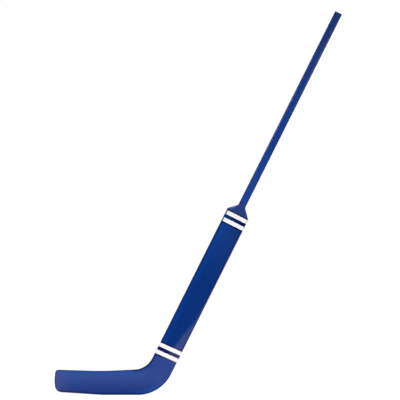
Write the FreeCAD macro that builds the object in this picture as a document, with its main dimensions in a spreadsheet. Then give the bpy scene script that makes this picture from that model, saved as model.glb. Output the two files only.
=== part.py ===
"""Hockey goalie stick: a foam-core paddle and a laminated shaft in one line, with a curved blade.

The sole of the blade lies on Z = 0 along X, with the toe towards -X and the origin midway along its
flat. The shaft leans towards +X by the lie, and the depth of the stick runs along Y, front face at -Y.
"""
import FreeCAD, Part
import os
import Sketcher
from FreeCAD import Placement, Rotation, Vector

# Driving dimensions in millimetres, apart from the lie, which is in degrees.
SIZES = {
    # Stick as a whole. Heights along the shaft start where its middle line meets the sole.
    "lie_angle": 63.3,
    "butt_height": 1544.0,
    "edge_radius": 4.8,
    # Shaft and its laminations
    "shaft_width": 27.5,
    "shaft_thickness": 19.6,
    "shaft_corner": 5.0,
    "sleeve_wall": 0.5,
    "stiffener_thickness": 0.6,
    "ply_thickness": 1.8,
    # Paddle
    "paddle_width": 86.4,
    "veneer_thickness": 1.0,
    "skin_thickness": 0.6,
    "edge_strip_width": 9.0,
    "joint_clear": 9.4,
    "shoulder_height": 735.0,
    "shoulder_stagger": 6.5,
    "shoulder_rise": 27.0,
    "shoulder_radius": 7.0,
    "shoulder_block_drop": 37.0,
    "neck_length": 12.0,
    "neck_radius": 12.0,
    "neck_taper": 36.0,
    # White bands
    "band_width": 14.4,
    "band_gap": 13.2,
    "band_film": 0.2,
    "heel_band_clear": 12.0,
    "neck_band_clear": 2.0,
    # Blade, seen from the front. Its length runs from where the sole and the trailing edge would meet.
    "blade_length": 383.4,
    "sole_flat": 130.0,
    "heel_radius": 135.0,
    "heel_height": 93.3,
    "inner_radius": 76.0,
    "valley_height": 86.0,
    "toe_height": 92.5,
    "toe_rise": 12.1,
    "toe_crown": 4.4,
    "toe_top_radius": 11.0,
    "toe_bottom_radius": 25.0,
    "rocker_radius": 350.0,
    # Blade, seen from above
    "taper_clear": 16.0,
    "taper_radius": 1500.0,
    "toe_thickness": 10.8,
    "toe_curve": 16.0,
    # Blade core
    "blade_skin_thickness": 0.6,
    "wear_strip_width": 5.0,
    "stave_split_height": 47.0,
    "scarf_from_heel": 104.0,
    "wedge_length": 40.0,
    "wedge_thickness": 9.0,
    "wedge_tip": 5.0,
    "wedge_margin": 12.0,
    "tongue_length": 85.0,
    "tongue_thickness": 7.0,
    # How far cutting shapes reach past what they cut
    "overrun": 10.0,
}

# Shares of the run beside a corner that its rounding takes, and of a line at which its corner lies.
SHARES = {
    "valley_place_share": 0.51,
    "valley_round_share": 0.4,
    "toe_round_share": 0.7,
    "curve_place_share": 0.52,
    "curve_round_share": 0.3,
    "edge_round_share": 0.9,
}

# Places and sizes that follow from the driving dimensions.
PLACES = {
    # Section of the stick, from its middle line
    "half_paddle": "sizes.paddle_width / 2",
    "half_shaft": "sizes.shaft_width / 2",
    "half_shaft_depth": "sizes.shaft_thickness / 2",
    "spine_side": "half_shaft - sizes.sleeve_wall",
    "spine_face": "half_shaft_depth - sizes.sleeve_wall",
    "ply_face": "spine_face - sizes.stiffener_thickness",
    "core_face": "ply_face - sizes.ply_thickness",
    "veneer_face": "spine_face + sizes.veneer_thickness",
    "paddle_face": "veneer_face + sizes.skin_thickness",
    "edge_strip_side": "half_paddle - sizes.edge_strip_width",
    # Heights along the stick
    "inner_run": "sizes.inner_radius * tan(sizes.lie_angle / 2)",
    "inner_height": "(sizes.heel_height - half_paddle * cos(sizes.lie_angle)) / sin(sizes.lie_angle)",
    "joint_height": "inner_height + inner_run + sizes.joint_clear",
    "trailing_shoulder_height": "sizes.shoulder_height - sizes.shoulder_stagger",
    "shoulder_foot": "trailing_shoulder_height - sizes.shoulder_block_drop",
    "neck_height": "sizes.shoulder_height + sizes.shoulder_rise",
    "neck_top": "neck_height + sizes.neck_length",
    "taper_foot": "neck_top - sizes.neck_taper",
    "band_step": "sizes.band_width + sizes.band_gap",
    "heel_band_height": "joint_height + sizes.heel_band_clear",
    "neck_band_top": "trailing_shoulder_height - sizes.neck_band_clear",
    "neck_band_height": "neck_band_top - sizes.band_width - band_step",
    # Where the stick's lines meet the sole
    "heel_x": "sizes.sole_flat / 2 + sizes.heel_radius * tan(sizes.lie_angle / 2)",
    "axis_x": "heel_x - half_paddle / sin(sizes.lie_angle)",
    "leading_x": "axis_x - half_paddle / sin(sizes.lie_angle)",
    "toe_x": "heel_x - sizes.blade_length",
    "scarf_x": "heel_x - sizes.scarf_from_heel",
    "rocker_x": "-sizes.sole_flat / 2",
    # Ends of the joint between the blade and the paddle
    "joint_x": "axis_x + joint_height * cos(sizes.lie_angle)",
    "joint_z": "joint_height * sin(sizes.lie_angle)",
    "joint_reach_x": "half_paddle * sin(sizes.lie_angle)",
    "joint_reach_z": "half_paddle * cos(sizes.lie_angle)",
    # Outline of the blade
    "inner_x": "leading_x + sizes.heel_height / tan(sizes.lie_angle)",
    "valley_x": "toe_x + shares.valley_place_share * (inner_x - toe_x)",
    "valley_toe_run": "valley_x - toe_x - sizes.toe_crown",
    "valley_heel_run": "inner_x - valley_x",
    "valley_toe_slope": "(sizes.toe_height - sizes.valley_height) / valley_toe_run",
    "valley_heel_slope": "(sizes.heel_height - sizes.valley_height) / valley_heel_run",
    "valley_turn": "abs(atan(valley_toe_slope) + atan(valley_heel_slope))",
    "valley_run": "min(valley_toe_run - sizes.toe_top_radius; valley_heel_run - inner_run)",
    "top_radius": "shares.valley_round_share * valley_run / tan(valley_turn / 2)",
    "toe_middle": "(sizes.toe_height + sizes.toe_rise) / 2",
    "toe_reach": "toe_middle - sizes.toe_rise",
    "toe_run": "shares.toe_round_share * (toe_reach - sizes.toe_bottom_radius)",
    "toe_radius": "toe_run * toe_reach / sizes.toe_crown",
    # Plan of the blade
    "plan_toe_x": "toe_x - sizes.overrun",
    "plan_heel_x": "joint_x + joint_reach_x + sizes.overrun",
    "taper_x": "scarf_x - sizes.taper_clear",
    "curve_x": "toe_x + shares.curve_place_share * (taper_x - toe_x)",
    "curve_run": "min(curve_x - plan_toe_x; taper_x - curve_x)",
    "curve_turn": "atan(sizes.toe_curve / (curve_x - plan_toe_x))",
    "curve_radius": "shares.curve_round_share * curve_run / tan(curve_turn / 2)",
    "half_toe": "sizes.toe_thickness / 2",
    "curve_taper_share": "(taper_x - curve_x) / (taper_x - plan_toe_x)",
    "curve_face": "paddle_face - (paddle_face - half_toe) * curve_taper_share",
    "blade_edge_radius": "min(sizes.edge_radius; shares.edge_round_share * half_toe)",
    "plan_reach": "paddle_face + sizes.toe_curve + sizes.overrun",
    "blade_reach": "joint_z + joint_reach_z + sizes.overrun",
    "strip_toe_x": "toe_x + sizes.toe_crown + sizes.wear_strip_width",
    "strip_corner": "sizes.toe_bottom_radius - sizes.wear_strip_width",
    "wedge_foot": "sizes.wear_strip_width + sizes.wedge_margin",
    "wedge_top": "sizes.valley_height - sizes.wedge_margin",
}

# Signs of the two faces and of the two edges of the stick.
FRONT, BACK = "-", "+"
LEADING, TRAILING = "-", "+"

# Faces whose normals agree by this share or more point the same way.
SAME_WAY_SHARE = 0.99

# Rounded sections as half width, half depth and corner radius.
SPINE_SECTION = ("places.spine_side", "places.spine_face", "sizes.shaft_corner - sizes.sleeve_wall")
PADDLE_SECTION = ("places.half_paddle", "places.paddle_face", "sizes.edge_radius")

doc = FreeCAD.newDocument("goalie_stick")


def make_sheet(name, cells):
    sheet = doc.addObject("Spreadsheet::Sheet", name)
    for row, (alias, content) in enumerate(cells.items(), start=1):
        sheet.set(f"A{row}", alias)
        sheet.set(f"B{row}", content)
        sheet.setAlias(f"B{row}", alias)
    doc.recompute()
    return sheet


make_sheet("sizes", {alias: str(number) for alias, number in SIZES.items()})
make_sheet("shares", {alias: str(number) for alias, number in SHARES.items()})
places = make_sheet("places", {alias: f"={formula}" for alias, formula in PLACES.items()})


def bind(item, expressions):
    for target, expression in expressions.items():
        item.setExpression(target, expression)


def lean(item):
    """Stand a piece that is drawn upright on the stick's middle line, leaning by the lie."""
    item.Placement = Placement(Vector(), Rotation(Vector(0, 1, 0), 0))
    bind(item, {"Placement.Base.x": "places.axis_x", "Placement.Rotation.Angle": "90 - sizes.lie_angle"})
    return item


def outline(body, name, role, corners):
    """Closed sketch through corners (across, up, radius); a corner without a radius stays sharp.

    Constraints call the start of a line 1 and its end 2, and the sketch's origin (-1, 1).
    """
    sketch = body.newObject("Sketcher::SketchObject", name)
    plane = next(feature for feature in body.Origin.OriginFeatures if feature.Role == role)
    sketch.AttachmentSupport = [(plane, "")]
    sketch.MapMode = "FlatFace"
    points = [Vector(*map(places.evalExpression, corner[:2]), 0) for corner in corners]
    for line, point in enumerate(points):
        sketch.addGeometry(Part.LineSegment(point, points[(line + 1) % len(points)]), False)
    for line in range(len(points)):
        next_line = (line + 1) % len(points)
        sketch.addConstraint(Sketcher.Constraint("Coincident", line, 2, next_line, 1))
    for line, (point, corner) in enumerate(zip(points, corners)):
        for direction, distance, place in zip(("DistanceX", "DistanceY"), point, corner):
            rule = Sketcher.Constraint(direction, -1, 1, line, 1, distance)
            sketch.setExpression(f"Constraints[{sketch.addConstraint(rule)}]", place)
    for line, (across, up, *radius) in enumerate(corners):
        if radius:
            arc = sketch.GeometryCount
            length = places.evalExpression(radius[0])
            sketch.fillet(line, 1, length, True, True)
            rule = Sketcher.Constraint("Radius", arc, length)
            sketch.setExpression(f"Constraints[{sketch.addConstraint(rule)}]", radius[0])
    return sketch


def pad(body, sketch, length, sides="Symmetric"):
    feature = body.newObject("PartDesign::Pad", f"{sketch.Name}_pad")
    feature.Profile = sketch
    feature.SideType = sides
    bind(feature, {"Length": length})
    return feature


def pocket(body, sketch):
    """Cut right through, either side of the sketch's plane."""
    feature = body.newObject("PartDesign::Pocket", f"{sketch.Name}_cut")
    feature.Profile = sketch
    feature.SideType = "Symmetric"
    feature.Type = "ThroughAll"
    return feature


def prism(name, role, corners, length):
    """Solid of one outline, half of its length either side of the plane that it is drawn on."""
    body = doc.addObject("PartDesign::Body", name)
    pad(body, outline(body, f"{name}_outline", role, corners), length)
    return body


def section(body, name, half_width, half_depth, corner, low):
    """Rounded rectangle across the stick at the height low."""
    signs = (TRAILING + BACK, LEADING + BACK, LEADING + FRONT, TRAILING + FRONT)
    corners = [(f"{x}({half_width})", f"{y}({half_depth})", corner) for x, y in signs]
    sketch = outline(body, name, "XY_Plane", corners)
    bind(sketch, {"AttachmentOffset.Base.z": low})
    return sketch


def bar(name, half_width, half_depth, corner, low, high):
    """Rounded bar along the stick from the height low to the height high."""
    body = doc.addObject("PartDesign::Body", name)
    sketch = section(body, f"{name}_section", half_width, half_depth, corner, low)
    pad(body, sketch, f"({high}) - ({low})", "One side")
    return body


def wrap(name, half_width, half_depth, corner, wall, low, high):
    """Layer of thickness wall round the outside of a rounded section."""
    outside = (f"{half_width} + {wall}", f"{half_depth} + {wall}", f"{corner} + {wall}")
    body = bar(name, *outside, low, high)
    pocket(body, section(body, f"{name}_bore", half_width, half_depth, corner, low))
    return lean(body)


def normal(face):
    first_low, first_high, second_low, second_high = face.ParameterRange
    return face.normalAt((first_low + first_high) / 2, (second_low + second_high) / 2)


def round_edges(body, base, grain, radius):
    """Round the edges between faces and walls, but not at the glued ends, which lie across the grain."""
    doc.recompute()
    names = []
    for number, edge in enumerate(base.Shape.Edges, start=1):
        sides = [normal(face) for face in base.Shape.ancestorsOfType(edge, Part.Face)]
        walls = [side for side in sides if abs(side.y) < 1 - SAME_WAY_SHARE]
        if len(walls) == 1 and abs(walls[0].dot(grain)) < SAME_WAY_SHARE:
            names.append(f"Edge{number}")
    feature = body.newObject("PartDesign::Fillet", f"{body.Name}_rounding")
    feature.Base = (base, names)
    bind(feature, {"Radius": radius})


def box(name, across, depth, up):
    """Box between pairs of places across, through the depth and up."""
    item = doc.addObject("Part::Box", name)
    for side, axis, (low, high) in zip(("Length", "Width", "Height"), "xyz", (across, depth, up)):
        bind(item, {side: f"({high}) - ({low})", f"Placement.Base.{axis}": low})
    return item


def combine(kind, name, base, tool):
    item = doc.addObject(f"Part::{kind}", name)
    item.Base = base
    item.Tool = tool
    return item


def on_side(sign, low, high):
    """Pair of places out from the middle line on one side of it, in rising order."""
    return (low, high) if sign == "+" else (f"-{high}", f"-{low}")


def make_stick_blank():
    """Paddle and bare shaft, shaped as one and drawn upright on the middle line."""
    body = doc.addObject("PartDesign::Body", "paddle_blank")
    corners = [
        ("places.half_paddle", "places.joint_height"),
        ("places.half_paddle", "places.trailing_shoulder_height", "sizes.shoulder_radius"),
        ("places.half_shaft", "places.neck_height", "sizes.neck_radius"),
        ("places.half_shaft", "places.neck_top"),
        ("-places.half_shaft", "places.neck_top"),
        ("-places.half_shaft", "places.neck_height", "sizes.neck_radius"),
        ("-places.half_paddle", "sizes.shoulder_height", "sizes.shoulder_radius"),
        ("-places.half_paddle", "places.joint_height"),
    ]
    sketch = outline(body, "paddle_outline", "XZ_Plane", corners)
    shape = pad(body, sketch, "2 * places.paddle_face")
    for name, sign in (("front_neck", FRONT), ("back_neck", BACK)):
        wedge = [
            (f"{sign}places.paddle_face", "places.taper_foot"),
            (f"{sign}places.half_shaft_depth", "places.neck_top"),
            (f"{sign}places.plan_reach", "places.neck_top"),
            (f"{sign}places.plan_reach", "places.taper_foot"),
        ]
        shape = pocket(body, outline(body, name, "YZ_Plane", wedge))
    round_edges(body, shape, Vector(0, 0, 1), "sizes.edge_radius")
    shaft = bar("shaft_bar", *SPINE_SECTION, "places.neck_top", "sizes.butt_height")
    return combine("Fuse", "stick_blank", body, shaft)


def make_tongue(name):
    """Tongue of the heel block, as wide as the spine whose slot it fills, drawn upright."""
    top = "places.joint_height + sizes.tongue_length"
    corners = [
        ("places.spine_side", "places.joint_height"),
        ("places.spine_side", top),
        ("-places.spine_side", top),
        ("-places.spine_side", "places.joint_height"),
    ]
    return prism(name, "XZ_Plane", corners, "sizes.tongue_thickness")


def make_stick_pieces():
    """The stick is glued up from straight slabs and then shaped, so a piece is its slab's share of it.

    The skins stop where the neck begins to taper, and the veneers are thicker from there on up.
    """
    blank = make_stick_blank()
    whole = ("places.joint_height", "sizes.butt_height")
    paddle = ("places.joint_height", "places.neck_top")
    skinned = ("places.joint_height", "places.taper_foot")
    neck = ("places.taper_foot", "places.neck_top")
    sides = ("places.joint_height", "places.shoulder_foot")
    shoulder = ("places.shoulder_foot", "places.neck_top")
    spine_width = ("-places.spine_side", "places.spine_side")
    full_width = ("-places.half_paddle", "places.half_paddle")
    spine_depth = ("-places.spine_face", "places.spine_face")
    slabs = {}
    for face, sign in (("front", FRONT), ("back", BACK)):
        ply = on_side(sign, "places.core_face", "places.ply_face")
        stiffener = on_side(sign, "places.ply_face", "places.spine_face")
        skin = on_side(sign, "places.veneer_face", "places.paddle_face")
        slabs[f"shaft_{face}_ply"] = (spine_width, ply, whole)
        slabs[f"shaft_{face}_stiffener"] = (spine_width, stiffener, whole)
        slabs[f"paddle_{face}_skin"] = (full_width, skin, skinned)
    for edge, sign in (("leading", LEADING), ("trailing", TRAILING)):
        foam = on_side(sign, "places.spine_side", "places.edge_strip_side")
        strip = on_side(sign, "places.edge_strip_side", "places.half_paddle")
        block = on_side(sign, "places.spine_side", "places.half_paddle")
        slabs[f"paddle_{edge}_foam"] = (foam, spine_depth, sides)
        slabs[f"paddle_{edge}_edge"] = (strip, spine_depth, sides)
        slabs[f"{edge}_shoulder_block"] = (block, spine_depth, shoulder)
    pieces = [combine("Common", name, blank, box(f"{name}_slab", *slab)) for name, slab in slabs.items()]
    for face, sign in (("front", FRONT), ("back", BACK)):
        thin = on_side(sign, "places.spine_face", "places.veneer_face")
        thick = on_side(sign, "places.spine_face", "places.paddle_face")
        sheet = box(f"{face}_veneer_sheet", full_width, thin, paddle)
        lip = box(f"{face}_veneer_lip", full_width, thick, neck)
        veneer = combine("Fuse", f"{face}_veneer_slab", sheet, lip)
        pieces.append(combine("Common", f"paddle_{face}_veneer", blank, veneer))
    core_slab = box("core_slab", spine_width, ("-places.core_face", "places.core_face"), whole)
    core_bar = combine("Common", "core_bar", blank, core_slab)
    pieces.append(combine("Cut", "shaft_core", core_bar, make_tongue("tongue_slot")))
    return [lean(piece) for piece in pieces]


def make_wraps():
    """Painted sleeve of the shaft and the two pairs of white bands round the paddle."""
    shaft = ("places.neck_top", "sizes.butt_height")
    pieces = [wrap("shaft_sleeve", *SPINE_SECTION, "sizes.sleeve_wall", *shaft)]
    for pair in ("heel", "neck"):
        low = f"places.{pair}_band_height"
        for place, foot in (("low", low), ("high", f"{low} + places.band_step")):
            height = (foot, f"{foot} + sizes.band_width")
            pieces.append(wrap(f"{pair}_band_{place}", *PADDLE_SECTION, "sizes.band_film", *height))
    return pieces


def face_line(sign, inset):
    """One face of the blade seen from above, from past the toe to past the joint, set in by inset."""
    return [
        ("places.plan_toe_x", f"{sign}(places.half_toe - {inset}) - sizes.toe_curve"),
        ("places.curve_x", f"{sign}(places.curve_face - {inset})", "places.curve_radius"),
        ("places.taper_x", f"{sign}(places.paddle_face - {inset})", "sizes.taper_radius"),
        ("places.plan_heel_x", f"{sign}(places.paddle_face - {inset})"),
    ]


def between(line, other_line):
    return line + list(reversed(other_line))


def far_line(sign):
    """Straight line clear of the blade on one side, to close a cut."""
    reach = f"{sign}places.plan_reach"
    return [("places.plan_toe_x", reach), ("places.plan_heel_x", reach)]


def make_blade_blank():
    """Blade and heel: cut to their outline, planed to the two curved faces and rounded."""
    body = doc.addObject("PartDesign::Body", "blade_blank")
    corners = [
        ("places.joint_x + places.joint_reach_x", "places.joint_z - places.joint_reach_z"),
        ("places.joint_x - places.joint_reach_x", "places.joint_z + places.joint_reach_z"),
        ("places.inner_x", "sizes.heel_height", "sizes.inner_radius"),
        ("places.valley_x", "sizes.valley_height", "places.top_radius"),
        ("places.toe_x + sizes.toe_crown", "sizes.toe_height", "sizes.toe_top_radius"),
        ("places.toe_x", "places.toe_middle", "places.toe_radius"),
        ("places.toe_x + sizes.toe_crown", "sizes.toe_rise", "sizes.toe_bottom_radius"),
        ("places.rocker_x", "0", "sizes.rocker_radius"),
        ("places.heel_x", "0", "sizes.heel_radius"),
    ]
    shape = pad(body, outline(body, "blade_outline", "XZ_Plane", corners), "2 * places.plan_reach")
    for name, sign in (("front_planing", FRONT), ("back_planing", BACK)):
        waste = between(face_line(sign, "0"), far_line(sign))
        shape = pocket(body, outline(body, name, "XY_Plane", waste))
    grain = [places.evalExpression(f"{part}(sizes.lie_angle)") for part in ("cos", "sin")]
    round_edges(body, shape, Vector(grain[0], 0, grain[1]), "places.blade_edge_radius")
    return body


def make_blade_layers():
    """Front skin, back skin and core, as layers of the shaped blade."""
    blank = make_blade_blank()
    skin = "sizes.blade_skin_thickness"
    layers = {
        "blade_front_skin": between(far_line(FRONT), face_line(FRONT, skin)),
        "blade_back_skin": between(face_line(BACK, skin), far_line(BACK)),
        "blade_core": between(face_line(FRONT, skin), face_line(BACK, skin)),
    }
    shaped = []
    for name, corners in layers.items():
        slab = prism(f"{name}_slab", "XY_Plane", corners, "2 * places.blade_reach")
        shaped.append(combine("Common", name, blank, slab))
    return shaped


def make_strip_region():
    """Everything nearer to the sole or the toe than the width of the wear strip."""
    corners = [
        ("places.scarf_x", "sizes.wear_strip_width"),
        ("places.rocker_x", "sizes.wear_strip_width", "sizes.rocker_radius"),
        ("places.strip_toe_x", "sizes.toe_rise + sizes.wear_strip_width", "places.strip_corner"),
        ("places.strip_toe_x", "places.blade_reach"),
        ("places.plan_toe_x", "places.blade_reach"),
        ("places.plan_toe_x", "-sizes.overrun"),
        ("places.scarf_x", "-sizes.overrun"),
    ]
    return prism("strip_region", "XZ_Plane", corners, "2 * places.plan_reach")


def make_wedge():
    """Wedge on the ends of both staves, which fills a socket in the heel block."""
    tip_x = "places.scarf_x + sizes.wedge_length"
    corners = [
        ("places.scarf_x", "-sizes.wedge_thickness / 2"),
        (tip_x, "-sizes.wedge_tip / 2"),
        (tip_x, "sizes.wedge_tip / 2"),
        ("places.scarf_x", "sizes.wedge_thickness / 2"),
    ]
    body = doc.addObject("PartDesign::Body", "wedge")
    sketch = outline(body, "wedge_plan", "XY_Plane", corners)
    bind(sketch, {"AttachmentOffset.Base.z": "places.wedge_foot"})
    pad(body, sketch, "places.wedge_top - places.wedge_foot", "One side")
    return body


def make_blade_pieces():
    """Glass skins over a core of two staves that wedge into the heel block, edged by a wear strip."""
    front_skin, back_skin, core = make_blade_layers()
    strip_region = make_strip_region()
    wedge = make_wedge()
    depth = ("-places.plan_reach", "places.plan_reach")
    toe_side = ("places.plan_toe_x", "places.scarf_x")
    heel_side = ("places.scarf_x", "places.plan_heel_x")
    halves = {
        "upper": ("sizes.stave_split_height", "places.blade_reach"),
        "lower": ("-sizes.overrun", "sizes.stave_split_height"),
    }
    pieces = [front_skin, back_skin, combine("Common", "blade_wear_strip", core, strip_region)]
    inside = combine("Cut", "blade_core_inside", core, strip_region)
    for half, height in halves.items():
        stave_slab = box(f"{half}_stave_slab", toe_side, depth, height)
        finger_slab = box(f"{half}_finger_slab", heel_side, depth, height)
        stave = combine("Common", f"{half}_stave", inside, stave_slab)
        finger = combine("Common", f"{half}_finger", wedge, finger_slab)
        pieces.append(combine("Fuse", f"blade_{half}_stave", stave, finger))
    heel_slab = box("heel_slab", heel_side, depth, ("-sizes.overrun", "places.blade_reach"))
    heel = combine("Common", "heel_core", core, heel_slab)
    socketed = combine("Cut", "heel_socketed", heel, wedge)
    pieces.append(combine("Fuse", "heel_block", socketed, lean(make_tongue("heel_tongue"))))
    return pieces


def export(pieces):
    doc.recompute()
    for item in doc.Objects:
        if {"Invalid", "Error"} & set(item.State):
            raise RuntimeError(f"{item.Label} failed: {item.State}")
    for piece in pieces:
        if piece.Shape.isNull() or not piece.Shape.isValid() or not piece.Shape.Solids:
            raise RuntimeError(f"{piece.Label} is not a sound solid")
    os.makedirs("parts", exist_ok=True)
    for piece in pieces:
        piece.Shape.exportStep(f"parts/{piece.Label}.step")
        print(f"{piece.Label}: {len(piece.Shape.Solids)} solid, {piece.Shape.Volume:.0f} cubic mm")


export(make_stick_pieces() + make_wraps() + make_blade_pieces())
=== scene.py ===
"""Looks of a hockey goalie stick: gloss blue paint, white film bands and a worn sole strip.

Shapes are drawn in millimetres, with the same sizes as the CAD model, and scaled to metres at the end.
The stick's own frame has a across it (towards the trailing edge), y through it and s along it.
"""

import math

import bmesh
import bpy
import numpy as np
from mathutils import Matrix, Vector
from mathutils.geometry import delaunay_2d_cdt


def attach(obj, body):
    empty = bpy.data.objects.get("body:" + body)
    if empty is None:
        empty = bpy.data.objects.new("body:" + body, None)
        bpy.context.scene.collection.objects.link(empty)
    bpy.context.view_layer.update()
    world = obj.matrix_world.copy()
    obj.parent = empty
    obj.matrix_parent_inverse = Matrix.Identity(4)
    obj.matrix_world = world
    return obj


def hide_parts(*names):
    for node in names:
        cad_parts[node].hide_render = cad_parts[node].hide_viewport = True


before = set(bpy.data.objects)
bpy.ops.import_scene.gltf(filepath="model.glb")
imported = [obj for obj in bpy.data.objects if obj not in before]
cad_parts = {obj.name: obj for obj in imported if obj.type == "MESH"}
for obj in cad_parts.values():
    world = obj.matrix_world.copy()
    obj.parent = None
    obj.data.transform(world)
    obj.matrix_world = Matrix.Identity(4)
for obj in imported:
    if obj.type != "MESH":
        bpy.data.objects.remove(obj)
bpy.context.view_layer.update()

MM = 0.001
FRONT, BACK = -1, 1
LEADING, TRAILING = -1, 1

# Sizes of the stick
LIE = math.radians(63.3)
BUTT = 1544.0
EDGE_RADIUS = 4.8
HALF_PADDLE, PADDLE_FACE = 43.2, 10.9
HALF_SHAFT, HALF_SHAFT_DEPTH, SHAFT_CORNER, SLEEVE_WALL = 13.75, 9.8, 5.0, 0.5
SPINE_FACE, PLY_FACE, CORE_FACE = 9.3, 8.7, 6.9
EDGE_STRIP = 9.0
SHOULDER, SHOULDER_STAGGER, SHOULDER_RISE, SHOULDER_RADIUS = 735.0, 6.5, 27.0, 7.0
SHOULDER_BLOCK_DROP = 37.0
NECK_LENGTH, NECK_RADIUS, NECK_TAPER = 12.0, 12.0, 36.0
BAND_WIDTH, BAND_GAP, BAND_FILM = 14.4, 13.2, 0.2
HEEL_BAND_CLEAR, NECK_BAND_CLEAR = 12.0, 2.0
# The heel's pair of bands lies a little askew: rise along the stick for each millimetre across it
HEEL_BAND_SKEW, NECK_BAND_SKEW = math.tan(math.radians(2.2)), 0.0
JOINT_CLEAR = 9.4
# Sizes of the blade
BLADE_LENGTH, SOLE_FLAT, HEEL_RADIUS, HEEL_HEIGHT, INNER_RADIUS = 383.4, 130.0, 135.0, 93.3, 76.0
VALLEY_PLACE, VALLEY_HEIGHT, VALLEY_RADIUS = 0.51, 86.0, 1113.0
TOE_HEIGHT, TOE_RISE, TOE_CROWN = 92.5, 12.1, 4.4
TOE_RADIUS, TOE_TOP_RADIUS, TOE_BOTTOM_RADIUS, ROCKER_RADIUS = 97.0, 11.0, 25.0, 350.0
TAPER_CLEAR, TAPER_RADIUS, TOE_THICKNESS, TOE_CURVE = 16.0, 1500.0, 10.8, 16.0
CURVE_PLACE, CURVE_RADIUS = 0.52, 699.0
BLADE_SKIN, WEAR_STRIP, STAVE_SPLIT, SCARF = 0.6, 5.0, 47.0, 104.0
OVERRUN = 10.0
# Fineness of the meshes: spacing of stations, of points on arcs and of points inside faces
STEP, ARC_STEP, ARC_TURN, GRID = 10.0, 3.0, math.radians(4), 8.0
# Steps round an edge, the power that crowds them towards the face, and steps of a corner and a lath's side
RIM_STEPS, RIM_CROWDING, CORNER_STEPS, LATH_STEPS = 8, 1.5, 12, 12
# Flat margin beside a rounding, width of the seams, and the angle from which an edge is shaded sharp
MARGIN, SEAM, CREASE = 1.6, 0.1, math.radians(32)
# Differences that count as none: in level, at a cut, between stations, in filling and in merging points
LEVEL_SLACK, CUT_SLACK, STATION_GAP, FILL_SLACK, MERGE_GAP = 1e-9, 1e-6, 1e-4, 1e-7, 0.001

# Places that follow from the sizes
HEEL_X = SOLE_FLAT / 2 + HEEL_RADIUS * math.tan(LIE / 2)
AXIS_X = HEEL_X - HALF_PADDLE / math.sin(LIE)
LEADING_X = AXIS_X - HALF_PADDLE / math.sin(LIE)
TOE_X = HEEL_X - BLADE_LENGTH
SCARF_X = HEEL_X - SCARF
INNER_X = LEADING_X + HEEL_HEIGHT / math.tan(LIE)
INNER_FOOT = (HEEL_HEIGHT - HALF_PADDLE * math.cos(LIE)) / math.sin(LIE)
JOINT = INNER_FOOT + INNER_RADIUS * math.tan(LIE / 2) + JOINT_CLEAR
TRAILING_SHOULDER = SHOULDER - SHOULDER_STAGGER
SHOULDER_FOOT = TRAILING_SHOULDER - SHOULDER_BLOCK_DROP
NECK = SHOULDER + SHOULDER_RISE
NECK_TOP = NECK + NECK_LENGTH
TAPER_FOOT = NECK_TOP - NECK_TAPER
BAND_STEP = BAND_WIDTH + BAND_GAP
HEEL_BAND = JOINT + HEEL_BAND_CLEAR
NECK_BAND = TRAILING_SHOULDER - NECK_BAND_CLEAR - BAND_WIDTH - BAND_STEP
VALLEY_X = TOE_X + VALLEY_PLACE * (INNER_X - TOE_X)
TAPER_X = SCARF_X - TAPER_CLEAR
CURVE_X = TOE_X + CURVE_PLACE * (TAPER_X - TOE_X)
PLAN_TOE_X, PLAN_HEEL_X = TOE_X - OVERRUN, HEEL_X + BLADE_LENGTH
CURVE_FACE = PADDLE_FACE - (PADDLE_FACE - TOE_THICKNESS / 2) * (TAPER_X - CURVE_X) / (TAPER_X - PLAN_TOE_X)
STRIP_TOE_X = TOE_X + TOE_CROWN + WEAR_STRIP


def stick_point(a, y, s):
    """From the stick's own frame to the shared frame, both in millimetres."""
    return AXIS_X + a * math.sin(LIE) + s * math.cos(LIE), y, s * math.sin(LIE) - a * math.cos(LIE)


def blade_point(x, y, z):
    return x, y, z


def round_path(corners):
    """Stations (u, v, normal u, normal v) along a path with rounded corners (u, v, radius).

    The normals point to the right of the path.
    """
    points = [Vector(corner[:2]) for corner in corners]
    stations = []

    def add(point, heading):
        stations.append((point.x, point.y, heading.y, -heading.x))

    def add_line(start, end, heading):
        count = max(1, math.ceil((end - start).length / STEP))
        for number in range(count):
            add(start.lerp(end, number / count), heading)

    begin = points[0]
    for before, corner, after, (_, _, radius) in zip(points, points[1:], points[2:], corners[1:]):
        heading, onward = (corner - before).normalized(), (after - corner).normalized()
        turn = heading.angle_signed(onward)
        reach = radius * math.tan(abs(turn) / 2)
        arc_start = corner - heading * reach
        add_line(begin, arc_start, heading)
        count = max(2, math.ceil(abs(turn) / ARC_TURN), math.ceil(radius * abs(turn) / ARC_STEP))
        side = Vector((heading.y, -heading.x)) * math.copysign(1, turn)
        centre = arc_start + side * radius
        for number in range(count):
            angle = turn * number / count
            cosine, sine = math.cos(angle), math.sin(angle)
            spoke, way = -side * radius, heading
            add(centre + Vector((spoke.x * cosine + spoke.y * sine, spoke.y * cosine - spoke.x * sine)),
                Vector((way.x * cosine + way.y * sine, way.y * cosine - way.x * sine)))
        begin = corner + onward * reach
    heading = (points[-1] - points[-2]).normalized()
    add_line(begin, points[-1], heading)
    add(points[-1], heading)
    return stations


def cut(stations, axis, low, high):
    """The part of a path whose coordinate lies between low and high, with stations at the cuts."""
    kept = []
    for first, second in zip(stations, stations[1:]):
        shares = [0.0, 1.0]
        rise = second[axis] - first[axis]
        for limit in (low, high):
            if abs(rise) > LEVEL_SLACK and 0 < (limit - first[axis]) / rise < 1:
                shares.append((limit - first[axis]) / rise)
        for share in sorted(shares):
            station = tuple(p + (q - p) * share for p, q in zip(first, second))
            if low - CUT_SLACK <= station[axis] <= high + CUT_SLACK:
                if not kept or math.dist(kept[-1][:2], station[:2]) > STATION_GAP:
                    kept.append(station)
    return kept


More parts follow.
